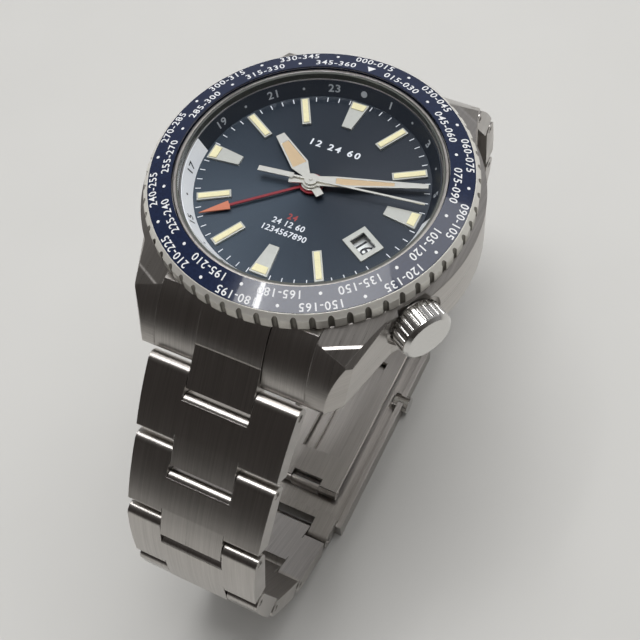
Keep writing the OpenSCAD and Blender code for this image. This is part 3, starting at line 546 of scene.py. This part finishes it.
FINISHES = {
    "case_middle": CASE, "case_back": BACK, "case_back_gasket": BLACK, "crown_tube": BRIGHT,
    "crystal": crystal_clear(), "crystal_gasket": SEAL, "hour_ring": hour_ring_paint(),
    "dial": dial_blue(), "hour_markers": MARKERS, "marker_lume": LUME, "date_frame": MARKERS,
    "movement_holder": HOLDER, "main_plate": NICKEL, "calendar_plate": NICKEL,
    "train_bridge": NICKEL, "balance_cock": NICKEL, "rotor_bearing": GILT,
    "bezel_click_spring": BRIGHT, "spring_bars": BRIGHT, "end_link_lower": LINK,
    "end_link_upper": LINK, "bezel_ring": bezel_steel(), "bezel_insert": insert_blue(),
    "gmt_hand": gmt_lacquer(), "hour_hand": HANDS, "hour_hand_lume": HAND_LUME, "minute_hand": HANDS,
    "minute_hand_lume": HAND_LUME, "seconds_hand": HANDS, "date_disc": PAPER, "rotor": WEIGHT,
    "balance_wheel": GILT, "mainspring_barrel": GILT, "third_wheel": GILT, "fourth_wheel": GILT,
    "escape_wheel": BRIGHT, "pallet_fork": BRIGHT, "winding_stem": BRIGHT, "crown": BRIGHT,
    "crown_gasket": BLACK, "clutch_wheel": BRIGHT, "clasp_cover": LINK,
    "clasp_long_blade": LINK, "clasp_short_blade": LINK, "clasp_button_left": BRIGHT,
    "clasp_button_right": BRIGHT,
}
for side in ("lower", "upper"):
    for number in range(1, 7):
        FINISHES[f"{side}_link_{number}"] = LINK
for node, finish in FINISHES.items():
    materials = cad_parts[node].data.materials
    for index in range(len(materials)):
        materials[index] = finish


# Printed pieces: glyphs, dots and ticks laid on a face, each a thin closed solid

def on_flat(height):
    """Place on a flat face: x to 3 o'clock, y to 12 o'clock."""
    return lambda x, y, z: (x, y, height + z)


def on_cone(low, high, middle, angle):
    """Place on a cone between two (radius, height) circles: x runs clockwise, y runs outward."""
    run, rise = low[0] - high[0], low[1] - high[1]
    length = math.hypot(run, rise)
    outward = 1 if run > 0 else -1
    step = (outward * run / length, outward * rise / length)
    lift = (-step[1], step[0])

    def place(x, y, z):
        radius = middle + y * step[0] + z * lift[0]
        height = high[1] + (middle - high[0]) * rise / run + y * step[1] + z * lift[1]
        turn = math.radians(angle) + x / middle
        return radius * math.sin(turn), radius * math.cos(turn), height
    return place


def turned(place, angle, radius, spin=0):
    """Place on a flat face, moved out by radius at a clock angle, with its own turn."""
    away = math.radians(angle)
    own = math.radians(angle + spin)

    def moved(x, y, z):
        return place(radius * math.sin(away) + x * math.cos(own) + y * math.sin(own),
                     radius * math.cos(away) - x * math.sin(own) + y * math.cos(own), z)
    return moved


def glyph_mesh(words, height, wide, bold):
    """Flat glyphs of this cap height, as a mesh a unit thick."""
    curve = bpy.data.curves.new("glyphs", "FONT")
    curve.body = words
    curve.size = height / CAP_HEIGHT
    curve.align_x, curve.align_y = "CENTER", "CENTER"
    curve.space_character = wide
    curve.offset = bold
    curve.resolution_u = 3
    curve.extrude = 0.5
    holder = bpy.data.objects.new("glyphs", curve)
    bpy.context.collection.objects.link(holder)
    shaped = holder.evaluated_get(bpy.context.evaluated_depsgraph_get())
    mesh = bpy.data.meshes.new_from_object(shaped)
    bpy.data.objects.remove(holder)
    bpy.data.curves.remove(curve)
    return mesh


class Print:
    """One printed piece, gathered from glyphs, dots and ticks."""

    def __init__(self, name, finish, body):
        self.name, self.finish, self.body = name, finish, body
        self.bm = bmesh.new()

    def keep(self, new, place):
        """Lay new vertices on their face."""
        for vertex in new:
            x, y, z = vertex.co
            vertex.co = [v * MM for v in place(x, y, z * PRINT_T)]

    def words(self, words, height, place, wide, bold, stretch=1.0):
        mesh = glyph_mesh(words, height, wide, bold)
        old = set(self.bm.verts)
        self.bm.from_mesh(mesh)
        bpy.data.meshes.remove(mesh)
        new = [v for v in self.bm.verts if v not in old]
        bmesh.ops.remove_doubles(self.bm, verts=new, dist=WELD)
        new = [v for v in self.bm.verts if v not in old]
        for vertex in new:
            vertex.co.x *= stretch
        self.keep(new, place)

    def dot(self, radius, place):
        made = bmesh.ops.create_cone(self.bm, cap_ends=True, segments=16,
                                     radius1=radius, radius2=radius, depth=1)
        self.keep(made["verts"], place)

    def bar(self, width, length, place):
        made = bmesh.ops.create_cube(self.bm, size=1)
        for vertex in made["verts"]:
            vertex.co.x *= width
            vertex.co.y *= length
        self.keep(made["verts"], place)

    def shape(self, points, place):
        """A flat outline, counter-clockwise."""
        low = [self.bm.verts.new((x, y, -0.5)) for x, y in points]
        high = [self.bm.verts.new((x, y, 0.5)) for x, y in points]
        self.bm.faces.new(low[::-1])
        self.bm.faces.new(high)
        for here, there in zip(range(len(points)), [*range(1, len(points)), 0]):
            self.bm.faces.new((low[here], low[there], high[there], high[here]))
        self.keep(low + high, place)

    def done(self):
        bmesh.ops.recalc_face_normals(self.bm, faces=self.bm.faces)
        mesh = bpy.data.meshes.new(self.name)
        self.bm.to_mesh(mesh)
        self.bm.free()
        mesh.materials.append(self.finish)
        piece = bpy.data.objects.new(self.name, mesh)
        bpy.context.collection.objects.link(piece)
        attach(piece, self.body)


def bezel_print():
    """A label in one row and a dot in the other, in turns. A pointer stands at 12 for the first dot."""
    piece = Print("bezel_numbers", PRINT, "bezel")
    for band in range(24):
        angle = 15 * band + BEZEL_TURN
        row, other = BEZEL_ROWS if band % 2 == 0 else BEZEL_ROWS[::-1]
        label = f"{15 * band:03d}-{15 * band + 15:03d}"
        piece.words(label, BEZEL_HEIGHT, on_cone(INSERT_LOW, INSERT_HIGH, row, angle), wide=1.12, bold=0.012)
        spot = on_cone(INSERT_LOW, INSERT_HIGH, other, angle)
        if band == 0:
            piece.shape(BEZEL_POINTER, spot)
        else:
            piece.dot(BEZEL_DOT, spot)
    piece.done()


def ring_print(name, finish, hours):
    """Numerals at the odd hours, dots at the even ones and a large dot at 24."""
    piece = Print(name, finish, "case")
    for hour in hours:
        place = on_cone(RING_LOW, RING_HIGH, RING_ROW, 15 * hour)
        if hour % 2:
            piece.words(str(hour), RING_HEIGHT, place, wide=1.1, bold=0.02, stretch=1.15)
        else:
            piece.dot(RING_DOT_24 if hour == 24 else RING_DOT, place)
    piece.done()


def minute_track():
    """A fine tick at each minute that has no hour marker."""
    piece = Print("minute_track", PRINT, "case")
    for minute in range(60):
        if minute % 5:
            piece.bar(TICK_WIDTH, TICK_LENGTH, turned(on_flat(DIAL_Z), 6 * minute, TICK_R))
    piece.done()


def dial_print(name, finish, rows):
    piece = Print(name, finish, "case")
    for words, height, angle, radius, wide, bold, stretch in rows:
        piece.words(words, height, turned(on_flat(DIAL_Z), angle, radius, -angle), wide, bold, stretch)
    piece.done()


def date_print():
    """The days of a month, each read along the radius."""
    piece = Print("date_numbers", PRINT_DARK, "date_disc")
    for day in range(1, DAYS + 1):
        angle = DATE_ANGLE + (DATE_SHOWN - day) * 360 / DAYS
        piece.words(str(day), DATE_HEIGHT, turned(on_flat(DISC_Z), angle, DATE_R, -90), wide=0.92,
                    bold=0.035, stretch=DATE_STRETCH)
    piece.done()


bezel_print()
ring_print("ring_numbers_pale", PRINT_DIM, NIGHT_HOURS)
ring_print("ring_numbers_dark", PRINT_DARK, DAY_HOURS)
minute_track()
dial_print("dial_numbers_white", PRINT, WHITE_ROWS)
dial_print("dial_numbers_red", PRINT_RED, RED_ROWS)
date_print()


# Floor, light and camera

def floor():
    bpy.ops.mesh.primitive_plane_add(size=FLOOR_SIZE, location=(0, 0, cad_box[0][2]))
    ground = bpy.context.object
    ground.name = "floor"
    look = Look("pale floor")
    # Painted shade: the floor is coloured dark in front of the watch, for the darkness that the links mirror
    # there.
    near = look.span(look.axes(look.place.outputs["Object"])["Y"], 0, 1, FLOOR_SHADE_Y, FLOOR_PALE_Y)
    speck = look.grain(FLOOR_GRAIN, detail=2)
    look.surface(
        color=look.ramp(look.weighed(near, 0.9, speck, 0.1), [
            (0.0, (0.11, 0.105, 0.10)), (0.9, (0.555, 0.55, 0.53)), (1.0, (0.585, 0.58, 0.56))]),
        roughness=0.8)
    ground.data.materials.append(look.material)


def lamp(name, place, aim, size, power, mirrored):
    data = bpy.data.lights.new(name, "AREA")
    data.shape = "RECTANGLE"
    data.size, data.size_y = (v * MM for v in size)
    data.energy = power
    light = bpy.data.objects.new(name, data)
    light.visible_glossy = mirrored
    light.location = [v * MM for v in place]
    reach = Vector(aim) - Vector(place)
    light.rotation_euler = reach.to_track_quat("-Z", "Y").to_euler()
    bpy.context.collection.objects.link(light)


def room():
    """A dim room: darkest in front of the watch, lighter behind it."""
    world = bpy.data.worlds.new("room")
    world.use_nodes = True
    nodes, links = world.node_tree.nodes, world.node_tree.links
    place = nodes.new("ShaderNodeTexCoord")
    parts = nodes.new("ShaderNodeSeparateXYZ")
    links.new(place.outputs["Generated"], parts.inputs[0])
    shift = nodes.new("ShaderNodeMapRange")
    shift.inputs["From Min"].default_value = -ROOM_REACH
    shift.inputs["From Max"].default_value = ROOM_REACH
    links.new(parts.outputs["Y"], shift.inputs["Value"])
    shade = nodes.new("ShaderNodeValToRGB")
    shade.color_ramp.elements.new(0.5)
    for element, color in zip(shade.color_ramp.elements, ROOM):
        element.color = (*color, 1)
    links.new(shift.outputs[0], shade.inputs["Fac"])
    links.new(shade.outputs["Color"], nodes["Background"].inputs["Color"])
    bpy.context.scene.world = world


def camera():
    data = bpy.data.cameras.new("camera")
    data.lens = CAMERA_LENS
    data.sensor_width = CAMERA_SENSOR
    data.clip_start = 0.01
    view = bpy.data.objects.new("camera", data)
    view.location = [v * MM for v in CAMERA_PLACE]
    view.rotation_euler = Euler([math.radians(v) for v in CAMERA_TURN])
    bpy.context.collection.objects.link(view)
    bpy.context.scene.camera = view


floor()
room()
for settings in LAMPS:
    lamp(*settings)
camera()
bpy.context.scene.view_settings.view_transform = "Standard"
